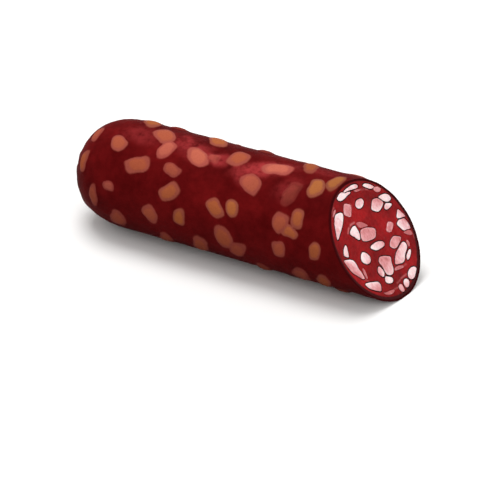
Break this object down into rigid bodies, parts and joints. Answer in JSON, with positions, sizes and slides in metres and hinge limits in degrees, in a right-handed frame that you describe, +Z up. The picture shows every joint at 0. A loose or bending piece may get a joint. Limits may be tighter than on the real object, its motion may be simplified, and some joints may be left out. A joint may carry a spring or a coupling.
{
  "type": "cured sausage",
  "caption": "Large dry-cured salami lying on its side, rounded and clipped at one end and sliced on a slant at the other.",
  "frame": {"origin": "middle of the strip underneath that the sausage rests on, half way along its whole length", "axes": "+X along the sausage's axis towards the cut, +Z up, -Y the side seen with the cut to the right"},
  "size_m": [0.2664, 0.0818, 0.0807],
  "materials": {
    "casing": "satin",
    "lean_meat": "satin",
    "fat_white": "satin",
    "fat_pink": "satin",
    "fat_thin": "satin",
    "clip_metal": "satin"
  },
  "bodies": {
    "root": {"casing": "casing", "filling": "lean_meat", "end_clip": "clip_metal", "fat_crown_left": "fat_white", "fat_crown_right": "fat_white", "fat_crown_streak": "fat_thin", "fat_upper_right": "fat_white", "fat_upper_right_tail": "fat_pink", "fat_left_wedge": "fat_white", "fat_left_edge": "fat_thin", "fat_tilted_square": "fat_pink", "fat_oval_top": "fat_white", "fat_right_polygon": "fat_pink", "fat_right_upper": "fat_white", "fat_right_small": "fat_white", "fat_left_polygon": "fat_white", "fat_centre_block": "fat_pink", "fat_centre_veil": "fat_thin", "fat_middle_oblong": "fat_white", "fat_small_oblong": "fat_pink", "fat_right_edge_top": "fat_pink", "fat_right_edge_block": "fat_white", "fat_right_edge_low": "fat_thin", "fat_lower_block": "fat_pink", "fat_lower_big": "fat_white", "fat_lower_narrow": "fat_white", "fat_lower_strip": "fat_thin", "fat_lower_sliver": "fat_thin", "fat_heart_block": "fat_pink", "fat_heart_left": "fat_white", "fat_heart_foot": "fat_white", "fat_oval_left": "fat_white", "fat_left_tooth": "fat_white", "fat_left_band": "fat_pink", "fat_left_fleck": "fat_thin", "fat_bottom_left": "fat_white", "fat_bottom_streak": "fat_thin", "fat_bottom_bead": "fat_thin", "fat_bottom_round": "fat_white", "fat_bottom_right": "fat_white"}
  },
  "joints": []
}
